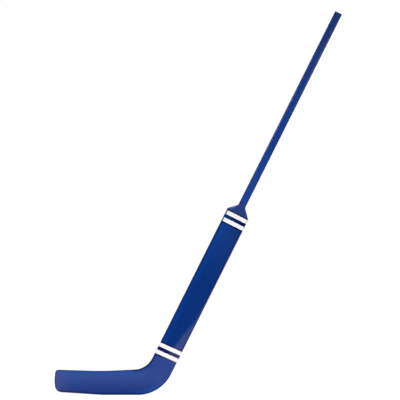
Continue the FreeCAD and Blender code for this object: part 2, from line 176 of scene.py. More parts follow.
def face_line(side):
    """One face of the blade seen from above, as arrays of x and y."""
    corners = [
        (PLAN_TOE_X, side * TOE_THICKNESS / 2 - TOE_CURVE, 0),
        (CURVE_X, side * CURVE_FACE, CURVE_RADIUS),
        (TAPER_X, side * PADDLE_FACE, TAPER_RADIUS),
        (PLAN_HEEL_X, side * PADDLE_FACE, 0),
    ]
    return np.array([station[:2] for station in round_path(corners)]).T


FACE_LINES = {side: face_line(side) for side in (FRONT, BACK)}


def blade_face(side, x, z):
    return float(np.interp(x, *FACE_LINES[side]))


def paddle_face(side, a, s):
    """Face of the paddle, which tapers to the shaft's depth at the neck."""
    share = min(max((s - TAPER_FOOT) / NECK_TAPER, 0), 1)
    return side * (PADDLE_FACE + (HALF_SHAFT_DEPTH - PADDLE_FACE) * share)


def paddle_ply(side, a, s):
    """Thickness of the paddle's skin and veneer together."""
    return abs(paddle_face(side, a, s)) - SPINE_FACE


def blade_ply(side, x, z):
    return BLADE_SKIN


PADDLE = {"point": stick_point, "face": paddle_face, "ply": paddle_ply}
BLADE = {"point": blade_point, "face": blade_face, "ply": blade_ply}


def arc_centre(before, corner, after, radius):
    """Centre of the arc that rounds a corner between its two neighbours."""
    before, corner, after = Vector(before), Vector(corner), Vector(after)
    one, two = (before - corner).normalized(), (after - corner).normalized()
    return corner + (one + two).normalized() * radius / math.sin(one.angle(two) / 2)


JOINT_LEADING = stick_point(-HALF_PADDLE, 0, JOINT)[::2]
JOINT_TRAILING = stick_point(HALF_PADDLE, 0, JOINT)[::2]
INNER_CENTRE = arc_centre(JOINT_LEADING, (INNER_X, HEEL_HEIGHT), (VALLEY_X, VALLEY_HEIGHT), INNER_RADIUS)
HEEL_CENTRE = arc_centre((0, 0), (HEEL_X, 0), JOINT_TRAILING, HEEL_RADIUS)
# Height along the stick at which the round of the heel runs into the straight trailing edge
HEEL_TOP = HALF_PADDLE / math.tan(LIE) + HEEL_RADIUS * math.tan(LIE / 2)
# Slopes of the sole's rise to the toe and of the leading shoulder
TOE_SLOPE = TOE_RISE / (-SOLE_FLAT / 2 - TOE_X - TOE_CROWN)
SHOULDER_SLOPE = math.atan2(SHOULDER_RISE, HALF_PADDLE - HALF_SHAFT)


def seam_angle(ply):
    """Angle round a rounded edge at which a ply ends: 0 at the wall, a right angle at the face."""
    return math.asin(1 - ply / EDGE_RADIUS)


def on_rim(form, station, side, angle, sink=0.0):
    """Point on the rounded edge beside a station, sunk by a little under the surface."""
    u, v, across, up = station
    inset = EDGE_RADIUS * (1 - math.cos(angle)) + sink * math.cos(angle)
    drop = EDGE_RADIUS * (1 - math.sin(angle)) + sink * math.sin(angle)
    u, v = u - across * inset, v - up * inset
    return u, v, form["face"](side, u, v) - side * drop


def step_in(station, distance):
    """The station moved inward, against its normal."""
    u, v, across, up = station
    return u - across * distance, v - up * distance, across, up


def make_piece(name, form, points, faces, slot, nodes):
    """Mesh object of points (u, v, y) in a form's frame, that rides on the part and hides the CAD nodes whose
    place it takes.
    """
    mesh = bpy.data.meshes.new(name)
    places = [form["point"](u, y, v) for u, v, y in points]
    mesh.from_pydata([Vector(place) * MM for place in places], [], faces)
    work = bmesh.new()
    work.from_mesh(mesh)
    bmesh.ops.remove_doubles(work, verts=work.verts, dist=MERGE_GAP * MM)
    bmesh.ops.recalc_face_normals(work, faces=work.faces)
    work.to_mesh(mesh)
    work.free()
    mesh.shade_smooth()
    mesh.set_sharp_from_angle(angle=CREASE)
    mesh.materials.append(MATERIALS[slot])
    piece = bpy.data.objects.new(name, mesh)
    bpy.context.scene.collection.objects.link(piece)
    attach(piece, "root")
    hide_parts(*nodes)


def ring_steps(count):
    """Each number round a closed ring, with the one after it."""
    return [(here, (here + 1) % count) for here in range(count)]


def wall(first, second, count):
    """Four-sided faces between two closed rings of points, numbered from first and from second."""
    return [[first + here, second + here, second + after, first + after] for here, after in ring_steps(count)]


def fill(loop):
    """Points on a grid inside a closed loop, and triangles over the loop and those points."""
    ring = np.array(loop)
    low, high = ring.min(0), ring.max(0)
    counts = np.ceil((high - low) / GRID).astype(int)
    columns, rows = (np.linspace(low[k], high[k], counts[k] + 1)[1:-1] for k in (0, 1))
    grid = np.stack(np.meshgrid(columns, rows), -1).reshape(-1, 2)
    clear = np.min(np.linalg.norm(grid[:, None] - ring[None], axis=2), axis=1) > GRID / 2
    ends = np.roll(ring, -1, 0)
    level = grid[:, None, 1]
    spans = (ring[None, :, 1] > level) != (ends[None, :, 1] > level)
    fall = np.where(ends[:, 1] == ring[:, 1], 1, ends[:, 1] - ring[:, 1])
    crossing = ring[None, :, 0] + (level - ring[None, :, 1]) / fall * (ends - ring)[None, :, 0]
    inside = (spans & (grid[:, None, 0] < crossing)).sum(1) % 2 == 1
    inner = grid[clear & inside]
    everything = [Vector(point) for point in np.vstack([ring, inner])]
    _, _, faces, origins, _, _ = delaunay_2d_cdt(everything, ring_steps(len(ring)), [], 1, FILL_SLACK)
    return inner.tolist(), [[origins[corner][0] for corner in face] for face in faces]


def plate_loop(rims):
    """Stations round a plate, each with whether its edge is rounded there.

    rims are paths along the rounded edges, each followed by a straight end to the next.
    """
    loop = []
    for number, rim in enumerate(rims):
        loop += [(station, True) for station in rim]
        last, first = rim[-1], rims[(number + 1) % len(rims)][0]
        start = Vector(step_in(last, EDGE_RADIUS + MARGIN)[:2])
        end = Vector(step_in(first, EDGE_RADIUS + MARGIN)[:2])
        count = math.ceil((end - start).length / GRID)
        for step in range(1, count):
            loop.append(((*start.lerp(end, step / count), 0, 0), False))
    return loop


def plate_ring(form, loop, side, step):
    """Points round a plate at one step from the flat of its face (below 0) to its seam (above RIM_STEPS)."""
    ring = []
    for station, rounded in loop:
        u, v = station[:2]
        last_angle = seam_angle(form["ply"](side, u, v))
        share = min(max(step / RIM_STEPS, 0), 1) ** RIM_CROWDING
        angle = math.pi / 2 + (last_angle - math.pi / 2) * share
        sink = SEAM if step > RIM_STEPS else 0
        if rounded and step < 0:
            ring.append(on_rim(form, step_in(station, MARGIN), side, angle))
        elif rounded:
            ring.append(on_rim(form, station, side, angle, sink))
        else:
            drop = EDGE_RADIUS * (1 - math.sin(angle)) + sink * math.sin(angle)
            ring.append((u, v, form["face"](side, u, v) - side * drop))
    return ring


def make_plate(name, form, rims, side, slot, nodes):
    """Skin over one face: flat inside, rounded over at the rims, and square at the ends between them."""
    loop = plate_loop(rims)
    rings = [plate_ring(form, loop, side, step) for step in range(-1, RIM_STEPS + 2)]
    inner, triangles = fill([point[:2] for point in rings[0]])
    count, depth = len(loop), len(rings)
    points = [point for ring in rings for point in ring]
    points += [(u, v, form["face"](side, u, v)) for u, v in inner]
    points += [(u, v, form["face"](side, u, v) - side * form["ply"](side, u, v)) for u, v in inner]
    last_ring = count * (depth - 1)
    back_start = last_ring + len(inner)
    faces = [[corner if corner < count else last_ring + corner for corner in face] for face in triangles]
    for face in triangles:
        faces.append([corner + (last_ring if corner < count else back_start) for corner in reversed(face)])
    for first in range(0, last_ring, count):
        faces += wall(first, first + count, count)
    make_piece(name, form, points, faces, slot, nodes)


def edge_profile(form, station, rounded):
    """Points from the front seam to the back seam across a station, round the edge or straight through."""
    profile = []
    for side in (FRONT, BACK):
        u, v = station[:2]
        ply = form["ply"](side, u, v)
        if rounded:
            top = seam_angle(ply)
            row = [on_rim(form, station, side, top, SEAM)]
            for step in range(RIM_STEPS + 1):
                row.append(on_rim(form, station, side, top * (1 - step / RIM_STEPS)))
        else:
            row = [(u, v, form["face"](side, u, v) - side * ply)]
        profile += row if side == FRONT else row[::-1]
    return profile


def make_rail(name, form, path, other, slot, nodes, other_rounded=False):
    """Solid between a rounded path and another one, which is straight through or rounded too."""
    loops = []
    for station, opposite in zip(path, other):
        near = edge_profile(form, station, True)
        loops.append(near + edge_profile(form, opposite, other_rounded)[::-1])
    count = len(loops[0])
    points = [point for loop in loops for point in loop]
    last = len(points) - count
    faces = [list(range(count)), list(range(last, last + count))]
    for first in range(0, last, count):
        faces += wall(first, first + count, count)
    make_piece(name, form, points, faces, slot, nodes)


def rounded_section(half_width, half_depth, corner):
    """Stations round a rounded rectangle across the stick, with normals outward.

    One more station on the flat beside each end of an arc keeps the flats' shading flat.
    """
    stations = []
    for sign_a, sign_y, first in ((1, 1, 0), (-1, 1, 1), (-1, -1, 2), (1, -1, 3)):
        for step in range(-1, CORNER_STEPS + 2):
            on_arc = min(max(step, 0), CORNER_STEPS)
            angle = (first + on_arc / CORNER_STEPS) * math.pi / 2
            beyond = MARGIN * (step - on_arc)
            across, depth = math.cos(angle), math.sin(angle)
            a = sign_a * (half_width - corner) + across * corner - depth * beyond
            y = sign_y * (half_depth - corner) + depth * corner + across * beyond
            stations.append((a, y, across, depth))
    return stations


def make_tube(name, section, profile, slot, nodes, skew=0.0):
    """Ring round the stick: profile is the closed outline of its wall as (offset, s)."""
    points = [(a + across * offset, s + a * skew, y + depth * offset)
              for a, y, across, depth in section for offset, s in profile]
    count, total = len(profile), len(points)
    faces = []
    for first in range(0, total, count):
        faces += wall(first, (first + count) % total, count)
    make_piece(name, PADDLE, points, faces, slot, nodes)


def make_lath(name, low, high, slot, nodes):
    """Lamination of the shaft between two depths, from the joint to the butt, where its edge is eased."""
    corner = SHAFT_CORNER - SLEEVE_WALL
    flat = HALF_SHAFT - SHAFT_CORNER
    section = []
    for y in np.linspace(low, high, LATH_STEPS + 1):
        rise = max(abs(y) - SPINE_FACE + corner, 0)
        section.append((flat + math.sqrt(corner ** 2 - rise ** 2), float(y)))
    section += [(-a, y) for a, y in reversed(section)]
    ease, recess = 0.12, 0.25
    middle = (low + high) / 2
    stations = [(JOINT, 0), (BUTT - recess - ease, 0), (BUTT - recess, ease)]
    points = []
    for s, inset in stations:
        for a, y in section:
            points.append((a - math.copysign(inset, a), s, y + math.copysign(inset, middle - y)))
    count = len(section)
    last = count * (len(stations) - 1)
    faces = [list(range(count)), list(range(last, last + count))]
    for first in range(0, last, count):
        faces += wall(first, first + count, count)
    make_piece(name, PADDLE, points, faces, slot, nodes)


class Shader:
    """A material's node tree, with short calls for the nodes that the finishes share.

    Places are in metres, as Blender gives them, and noise scales are for each metre. Sizes that are read
    out of a place, and the depths of bumps, are in millimetres.
    """

    def __init__(self, name):
        self.material = bpy.data.materials.new(name)
        self.material.use_nodes = True
        self.tree = self.material.node_tree
        self.tree.nodes.clear()
        output = self.tree.nodes.new("ShaderNodeOutputMaterial")
        self.surface = self.tree.nodes.new("ShaderNodeBsdfPrincipled")
        self.tree.links.new(self.surface.outputs[0], output.inputs[0])
        where = self.tree.nodes.new("ShaderNodeTexCoord")
        self.spot, self.normal = where.outputs["Object"], where.outputs["Normal"]

    def add(self, kind, inputs=None, **settings):
        node = self.tree.nodes.new(kind)
        for key, value in settings.items():
            setattr(node, key, value)
        for key, value in (inputs or {}).items():
            self.feed(node.inputs[key], value)
        return node

    def feed(self, socket, value):
        if isinstance(value, bpy.types.NodeSocket):
            self.tree.links.new(value, socket)
        else:
            socket.default_value = value

    def set(self, **inputs):
        for key, value in inputs.items():
            self.feed(self.surface.inputs[key.replace("_", " ")], value)

    def stick(self):
        """Place in the stick's own frame: X across it, Y through it and Z along it."""
        shift = AXIS_X * MM
        inputs = {
            "Vector": self.spot,
            "Rotation": (0, LIE - math.pi / 2, 0),
            "Location": (-shift * math.sin(LIE), 0, -shift * math.cos(LIE)),
        }
        return self.add("ShaderNodeMapping", inputs).outputs[0]

    def part(self, vector, axis):
        return self.add("ShaderNodeSeparateXYZ", {0: vector}).outputs["XYZ".index(axis)]

    def size(self, place, axis):
        return self.math("DIVIDE", self.part(place, axis), MM)

    def away(self, centre):
        """Distance in millimetres from a centre (x, z), whatever the depth."""
        flat = self.add("ShaderNodeVectorMath", {0: self.spot, 1: (1, 0, 1)}, operation="MULTIPLY").outputs[0]
        middle = (centre[0] * MM, 0, centre[1] * MM)
        metres = self.add("ShaderNodeVectorMath", {0: flat, 1: middle}, operation="DISTANCE").outputs["Value"]
        return self.math("DIVIDE", metres, MM)

    def facing(self):
        """1 on the two wide faces and 0 on the walls between them."""
        return self.math("ABSOLUTE", self.part(self.normal, "Y"))

    def noise(self, place, scale, detail=3.0, rough=0.55):
        """Noise at one scale, or drawn out by a scale for each axis."""
        if isinstance(scale, tuple):
            place = self.add("ShaderNodeMapping", {"Vector": place, "Scale": scale}).outputs[0]
            scale = 1.0
        inputs = {"Vector": place, "Scale": scale, "Detail": detail, "Roughness": rough}
        return self.add("ShaderNodeTexNoise", inputs).outputs["Fac"]

    def cells(self, place, scale):
        return self.add("ShaderNodeTexVoronoi", {"Vector": place, "Scale": scale}).outputs["Distance"]

    def math(self, operation, first, second=0.0, third=0.0):
        return self.add("ShaderNodeMath", {0: first, 1: second, 2: third}, operation=operation).outputs[0]

    def plus(self, first, second):
        return self.math("ADD", first, second)

    def minus(self, first, second):
        return self.math("SUBTRACT", first, second)

    def times(self, first, second):
        return self.math("MULTIPLY", first, second)

    def sine(self, value, rate):
        return self.math("SINE", self.times(value, rate))

    def span(self, value, low, high, start=0.0, end=1.0):
        """Smooth change from start to end as a value goes from low to high."""
        inputs = {"Value": value, "From Min": low, "From Max": high, "To Min": start, "To Max": end}
        return self.add("ShaderNodeMapRange", inputs, interpolation_type="SMOOTHSTEP").outputs[0]

    def drift(self, value, noise, amount):
        """A value that noise moves by up to half an amount either way."""
        return self.plus(value, self.times(self.minus(noise, 0.5), amount))

    def mix(self, share, first, second):
        node = self.add("ShaderNodeMix", data_type="RGBA")
        self.feed(node.inputs[0], share)
        self.feed(node.inputs[6], first)
        self.feed(node.inputs[7], second)
        return node.outputs[2]

    def bump(self, height, depth, strength=1.0, under=None):
        inputs = {"Height": height, "Distance": depth * MM, "Strength": strength}
        if under is not None:
            inputs["Normal"] = under
        return self.add("ShaderNodeBump", inputs).outputs[0]


def rgb(red, green, blue):
    """Linear colour of a screen colour from 0 to 255."""
    def linear(value):
        value /= 255
        return value / 12.92 if value <= 0.04045 else ((value + 0.055) / 1.055) ** 2.4
    return linear(red), linear(green), linear(blue), 1.0


# Tones over the paint: painted shade on the edges, the inner curve and the walls, scuffs, a painted glint on
# the leading shoulder, wear, and the cloth and fibres under it
EDGE_SHADE_TONE, CURVE_SHADE_TONE, WALL_SHADE_TONE, NAVY_SHADE_TONE = rgb(1, 22, 92), rgb(1, 12, 72), rgb(2, 34, 124), rgb(4, 8, 48)
SCUFF_BLUE, SHOULDER_GLINT_TONE, WORN_BLUE = rgb(70, 110, 190), rgb(146, 144, 178), rgb(96, 112, 160)
YARN_BLUE, FIBRE_BLUE, SPECK_BLUE = rgb(52, 96, 176), rgb(1, 30, 92), rgb(2, 34, 96)
# Paint of the paddle: base tone, a painted highlight on the leading side, a bluer trailing tone, a painted
# sheen towards the neck, painted shade beside the bands and the strips between the bands
DEEP_BLUE, LEADING_LIGHT_TONE, TRAILING_TONE = rgb(2, 50, 125), rgb(3, 60, 150), rgb(3, 51, 131)
LEADING_SHEEN_TONE, TRAILING_SHEEN_TONE = rgb(20, 70, 152), rgb(30, 58, 128)
BAND_SHADE_TONE, HEEL_STRIP_BLUE = rgb(2, 20, 80), rgb(2, 18, 92)
NECK_STRIP_LEADING, NECK_STRIP_TRAILING = rgb(2, 50, 124), rgb(6, 12, 82)
# Paint of the blade, from the sole to the top edge, and of its two ends: painted shade at the sole, a painted
# highlight near the top edge and on the round of the heel, and a painted reflection on the toe
SOLE_SHADE_TONE, HEEL_BLUE, TOP_HIGHLIGHT_TONE = rgb(4, 47, 122), rgb(8, 54, 138), rgb(8, 66, 152)
HEEL_HIGHLIGHT_TONE, TOE_REFLECTION_TONE = rgb(0, 66, 156), rgb(52, 66, 141)
# Paint of the shaft, from the neck to the butt, growing darker towards the butt as painted shade, and of its
# wrap and yarns
SHAFT_LOW_BLUE, SHAFT_HIGH_BLUE, BUTT_SHADE_TONE = rgb(14, 62, 148), rgb(8, 46, 112), rgb(1, 42, 104)
WRAP_BLUE, SHAFT_YARN_BLUE = rgb(2, 30, 90), rgb(40, 90, 176)
# Film, with grime and a painted shade on its corners, and sole strip
FILM_WHITE, FILM_GRIME, FILM_CORNER_SHADE = rgb(255, 255, 255), rgb(220, 222, 228), rgb(88, 97, 125)
STRIP_DARK, STRIP_PALE, STRIP_RUB = rgb(8, 16, 74), rgb(14, 28, 96), rgb(110, 122, 160)
# Wood, glass and foam
LIGHT_WOOD, LIGHT_GRAIN = rgb(226, 204, 160), rgb(198, 168, 118)
HARDWOOD, HARD_GRAIN, PORE = rgb(206, 170, 122), rgb(172, 130, 84), rgb(96, 66, 38)
RESIN, GLASS = rgb(150, 140, 84), rgb(206, 200, 150)
CELL_HOLLOW, CELL_WALL, FOAM_STAIN = rgb(206, 194, 160), rgb(242, 236, 214), rgb(214, 196, 150)

# Sizes in the paint: softness of its borders, the painted shade lines beside the bands, yarns and turns of
# the wrap
BORDER_FADE = 1.2
KEYLINE, KEYLINE_FADE = 5.4, 2.3
WEAVE_PITCH, WRAP_PITCH = 1.6, 22.0
# Insets from the edge between which the heel's dark rim of painted shade fades in, and its share of the
# colour
HEEL_RIM, HEEL_RIM_SHARE = (7.0, 3.5), 0.8
# Places across the paddle between which the painted shade of its two edges fades in
LEADING_RIM, TRAILING_RIM = (-35.5, -39.5), (33.5, 39.5)
# Reaches of the painted light and shade: the painted sheen below the neck and the painted shade at the butt,
# along the stick, and the heel's painted highlight and shade and the toe's painted reflection
SHEEN_RISE, SHEEN_FALL, BUTT_SHADE = (420, 700), (690, 725), (1360, 1480)
HEEL_SHADE, TOE_REFLECTION_REACH = (45, 75), (-170, -225)
# Share of the paddle's clear coat that its foot has, below the heel's bands
FOOT_COAT = 0.72


def painted(shader, place, colour, scratches=0.1, wall_tone=WALL_SHADE_TONE):
    """Colour with walls in a tone of their own, which paints their light and shade, and fine scuffs along the
    stick, and the scuffs' share.
    """
    on_wall = shader.span(shader.facing(), 0.75, 0.97, 0.85, 0.0)
    colour = shader.mix(on_wall, colour, wall_tone)
    fine = shader.span(shader.noise(place, (1500, 1500, 40), rough=0.6), 0.6, 0.72)
    patch = shader.span(shader.noise(place, 16.0), 0.46, 0.66)
    scuff = shader.times(shader.times(fine, patch), scratches)
    return shader.mix(scuff, colour, SCUFF_BLUE), scuff


def weave(shader, across, along):
    """Height of a plain weave: two sets of yarns that pass over and under each other."""
    rate = math.pi / WEAVE_PITCH
    return shader.times(shader.sine(across, rate), shader.sine(along, rate))


def paddle_ground(shader, across, along, cloud):
    """Paint with a painted highlight on the leading side, a bluer tone on the trailing side and a painted
    sheen towards the neck.
    """
    side = shader.drift(across, cloud, 30)
    colour = shader.mix(shader.span(side, -42, -12), LEADING_LIGHT_TONE, DEEP_BLUE)
    colour = shader.mix(shader.span(side, 6, 45), colour, TRAILING_TONE)
    sheen = shader.mix(shader.span(side, -30, 30), LEADING_SHEEN_TONE, TRAILING_SHEEN_TONE)
    sheen_rise = shader.span(along, *SHEEN_RISE, 0.0, 0.7)
    sheen_fall = shader.span(along, *SHEEN_FALL, 1.0, 0.0)
    return shader.mix(shader.times(sheen_rise, sheen_fall), colour, sheen)


def shoulder_glint(shader, across, along):
    """Share of a pale painted glint along the leading shoulder's upper edge."""
    side = shader.plus(across, HALF_PADDLE)
    rise = shader.minus(along, SHOULDER)
    inset = shader.minus(shader.times(side, math.sin(SHOULDER_SLOPE)),
                         shader.times(rise, math.cos(SHOULDER_SLOPE)))
    above_corner = shader.span(along, SHOULDER, SHOULDER + 6)
    beside_shaft = shader.span(across, -HALF_SHAFT, -HALF_SHAFT - 9)
    return shader.times(shader.span(inset, 9.5, 3.0, 0.0, 0.5), shader.times(above_corner, beside_shaft))


def band_marks(shader, colour, across, along):
    """Painted shade lines beside each pair of bands, and a strip in a tone of its own between the two."""
    neck_strip = shader.mix(shader.span(across, -40, 40), NECK_STRIP_LEADING, NECK_STRIP_TRAILING)
    for low, skew, strip in ((HEEL_BAND, HEEL_BAND_SKEW, HEEL_STRIP_BLUE),
                             (NECK_BAND, NECK_BAND_SKEW, neck_strip)):
        level = shader.minus(along, shader.times(across, skew))
        middle = low + BAND_WIDTH / 2
        high = low + BAND_STEP + BAND_WIDTH
        marks = ((low - KEYLINE, high + KEYLINE, KEYLINE_FADE, BAND_SHADE_TONE),
                 (middle, middle + BAND_STEP, BORDER_FADE, strip))
        for start, end, fade, tone in marks:
            rise = shader.span(level, start - fade, start + fade)
            fall = shader.span(level, end - fade, end + fade, 1.0, 0.0)
            colour = shader.mix(shader.times(rise, fall), colour, tone)
    return colour


def make_paddle_paint():
    """Gloss paint under a clear coat, and woven glass under the paint below the heel's bands."""
    shader = Shader("paddle_gloss_paint")
    place = shader.stick()
    across, along = shader.size(place, "X"), shader.size(place, "Z")
    cloud = shader.noise(place, 9.0, 2.0)
    foot = HEEL_BAND + BAND_WIDTH / 2
    above_heel = shader.span(along, foot - BORDER_FADE, foot + BORDER_FADE)
    below_heel = shader.minus(1.0, above_heel)
    colour = shader.mix(above_heel, HEEL_BLUE, paddle_ground(shader, across, along, cloud))
    trailing = shader.span(across, -20, 20)
    # Painted shade: dark rims along both edges, the trailing one above the heel's bands only
    trailing_edge_shade = shader.times(shader.span(across, *TRAILING_RIM, 0.0, 0.7), above_heel)
    rim = shader.plus(shader.span(across, *LEADING_RIM, 0.0, 0.85), trailing_edge_shade)
    colour = shader.mix(rim, colour, shader.mix(trailing, EDGE_SHADE_TONE, NAVY_SHADE_TONE))
    # Painted shade: a dark rim along the foot's trailing edge, below the heel's bands
    foot_edge_shade = shader.span(shader.minus(HALF_PADDLE, across), *HEEL_RIM, 0.0, HEEL_RIM_SHARE)
    colour = shader.mix(shader.times(foot_edge_shade, below_heel), colour, EDGE_SHADE_TONE)
    # Painted glint along the leading shoulder
    colour = shader.mix(shoulder_glint(shader, across, along), colour, SHOULDER_GLINT_TONE)
    colour = band_marks(shader, colour, across, along)
    # Walls in painted light on the leading side and painted shade on the trailing side
    wall_tone = shader.mix(trailing, LEADING_LIGHT_TONE, WALL_SHADE_TONE)
    colour, scuff = painted(shader, place, colour, wall_tone=wall_tone)
    peel = shader.noise(place, 700.0, 2.0)
    ripple = shader.noise(place, (60, 60, 14), 2.0)
    gloss = shader.bump(ripple, 0.2, 0.04, shader.bump(peel, 0.01, 0.1))
    fibre = shader.noise(place, (420, 420, 9))
    cloth = shader.times(weave(shader, across, along), below_heel)
    normal = shader.bump(cloth, 0.08, 1.0, shader.bump(fibre, 0.1, 0.6))
    colour = shader.mix(shader.span(fibre, 0.42, 0.66, 0.0, 0.16), colour, FIBRE_BLUE)
    yarn = shader.times(shader.span(cloth, -1.0, 1.0, 0.0, 0.16), below_heel)
    colour = shader.mix(yarn, colour, YARN_BLUE)
    rough = shader.plus(shader.span(cloud, 0.3, 0.7, 0.3, 0.42), shader.times(scuff, 0.5))
    upward = shader.span(shader.part(shader.normal, "Z"), 0.45, 0.6)
    coated = shader.math("MAXIMUM", shader.span(shader.facing(), 0.7, 0.95, 0.2, 1.0), upward)
    coat = shader.times(coated, shader.math("MULTIPLY_ADD", above_heel, 1 - FOOT_COAT, FOOT_COAT))
    shader.set(Base_Color=colour, Roughness=rough, Normal=normal, Specular_IOR_Level=0.05,
               Coat_Normal=gloss, Coat_Weight=coat, Coat_Roughness=0.022)
    return shader.material


def heel_rim(shader, place):
    """Share of a dark rim of painted shade inside the round of the heel and the straight trailing edge above
    it.
    """
    straight = shader.minus(HALF_PADDLE, shader.size(place, "X"))
    curved = shader.minus(HEEL_RADIUS, shader.away(HEEL_CENTRE))
    above = shader.span(shader.size(place, "Z"), HEEL_TOP - 5, HEEL_TOP + 5)
    inset = shader.math("MULTIPLY_ADD", above, shader.minus(straight, curved), curved)
    return shader.span(inset, *HEEL_RIM, 0.0, HEEL_RIM_SHARE)


def blade_ground(shader, place, along, height, level):
    """Paint from the sole to the top edge, darker at the sole as painted shade and paler near the top edge as
    a painted highlight, with a painted highlight on the round of the heel, a painted reflection on the toe
    and dark rims of painted shade.
    """
    # Painted shade towards the sole
    colour = shader.mix(shader.span(level, 5, 60), SOLE_SHADE_TONE, HEEL_BLUE)
    # Painted highlight near the top edge, towards the toe
    top = shader.times(shader.span(level, 45, 80), shader.span(along, 120, 40))
    colour = shader.mix(top, colour, TOP_HIGHLIGHT_TONE)
    # Painted highlight on the round of the heel
    at_heel = shader.span(along, *HEEL_SHADE)
    near_round = shader.span(shader.away(HEEL_CENTRE), HEEL_RADIUS - 24, HEEL_RADIUS - 6)
    low_heel = shader.times(at_heel, shader.span(height, 60, 40))
    colour = shader.mix(shader.times(near_round, low_heel), colour, HEEL_HIGHLIGHT_TONE)
    # Painted reflection on the toe
    colour = shader.mix(shader.span(along, *TOE_REFLECTION_REACH, 0.0, 0.8), colour, TOE_REFLECTION_TONE)
    # Painted shade: a dark line along the sole, rising with the toe
    past_flat = shader.math("MAXIMUM", shader.minus(-SOLE_FLAT / 2, along), 0.0)
    above_sole = shader.minus(height, shader.times(past_flat, TOE_SLOPE))
    colour = shader.mix(shader.span(above_sole, 10.5, 4.0, 0.0, 0.82), colour, NAVY_SHADE_TONE)
    # Painted shade: a dark rim round the heel
    return shader.mix(shader.times(heel_rim(shader, place), at_heel), colour, EDGE_SHADE_TONE)


def make_blade_paint():
    """Satin paint over woven glass, paler towards the top edge as a painted highlight, and scuffed towards
    the sole.
    """
    shader = Shader("blade_satin_paint")
    place, spot = shader.stick(), shader.spot
    along, height = shader.size(spot, "X"), shader.size(spot, "Z")
    cloud = shader.noise(spot, 11.0)
    level = shader.drift(height, cloud, 20)
    colour = blade_ground(shader, place, along, height, level)
    # Painted shade along the inner curve, on the face and its walls
    curve = shader.times(shader.span(shader.away(INNER_CENTRE), INNER_RADIUS + 9, INNER_RADIUS + 4, 0.0, 0.9),
                         shader.span(along, INNER_X - 60, INNER_X - 25))
    colour = shader.mix(curve, colour, CURVE_SHADE_TONE)
    colour, _ = painted(shader, place, colour, wall_tone=shader.mix(curve, WALL_SHADE_TONE, EDGE_SHADE_TONE))
    rub = shader.span(shader.noise(spot, (40, 40, 160), 5.0, 0.65), 0.6, 0.75)
    worn = shader.times(rub, shader.span(level, 30, 4, 0.0, 0.3))
    colour = shader.mix(worn, colour, WORN_BLUE)
    cloth = weave(shader, shader.size(place, "X"), shader.size(place, "Z"))
    colour = shader.mix(shader.span(cloth, -1.0, 1.0, 0.0, 0.16), colour, YARN_BLUE)
    speck = shader.noise(spot, 1500.0, 2.0)
    colour = shader.mix(shader.span(speck, 0.35, 0.65, 0.0, 0.14), colour, SPECK_BLUE)
    normal = shader.bump(speck, 0.04, 0.5, shader.bump(cloth, 0.08))
    gloss = shader.bump(cloth, 0.03, 0.3)
    rough = shader.plus(shader.span(cloud, 0.3, 0.7, 0.34, 0.46), shader.times(worn, 0.6))
    coat = shader.times(shader.span(shader.facing(), 0.7, 0.95, 0.1, 1.0),
                        shader.span(height, 0, 75, 0.25, 0.72))
    coat = shader.times(coat, shader.span(height, 2, 24, 0.1, 1.0))
    coat = shader.times(coat, shader.minus(1.0, curve))
    shader.set(Base_Color=colour, Roughness=rough, Normal=normal, Specular_IOR_Level=0.05,
               Coat_Normal=gloss, Coat_Weight=coat, Coat_Roughness=0.12)
    return shader.material


def make_shaft_paint():
    """Satin paint on a wound sleeve, with faint turns of the wrap under it, and painted shade towards the
    butt and along its edges.
    """
    shader = Shader("shaft_satin_paint")
    place = shader.stick()
    across, along = shader.size(place, "X"), shader.size(place, "Z")
    cloud = shader.noise(place, (20, 20, 5))
    level = shader.plus(along, shader.times(cloud, 100))
    # Painted shade: the shaft darkens from the neck towards the butt
    colour = shader.mix(shader.span(level, 760, 1600), SHAFT_LOW_BLUE, SHAFT_HIGH_BLUE)
    butt = shader.span(along, *BUTT_SHADE, 0.0, 0.8)
    colour = shader.mix(butt, colour, BUTT_SHADE_TONE)
    # Painted shade along the shaft's edges
    from_middle = shader.math("ABSOLUTE", shader.plus(across, 0.5))
    colour = shader.mix(shader.span(from_middle, 8.5, 11.5, 0.0, 0.55), colour, NAVY_SHADE_TONE)
    colour, scuff = painted(shader, place, colour, scratches=0.12)
    turns = shader.plus(along, shader.times(across, 0.8))
    wrap = shader.sine(turns, 2 * math.pi / WRAP_PITCH)
    colour = shader.mix(shader.span(wrap, 0.55, 1.0, 0.0, 0.1), colour, WRAP_BLUE)
    yarn = shader.noise(place, (900, 900, 60))
    colour = shader.mix(shader.span(yarn, 0.4, 0.66, 0.0, 0.14), colour, SHAFT_YARN_BLUE)
    normal = shader.bump(yarn, 0.04, 0.6, shader.bump(wrap, 0.08, 0.5))
    rough = shader.plus(shader.span(cloud, 0.3, 0.7, 0.36, 0.5), shader.times(scuff, 0.4))
    coat = shader.times(shader.span(shader.facing(), 0.7, 0.95, 0.1, 0.5), shader.minus(1.0, butt))
    shader.set(Base_Color=colour, Roughness=rough, Normal=normal, Specular_IOR_Level=0.1,
               Coat_Weight=coat, Coat_Roughness=0.15)
    return shader.material


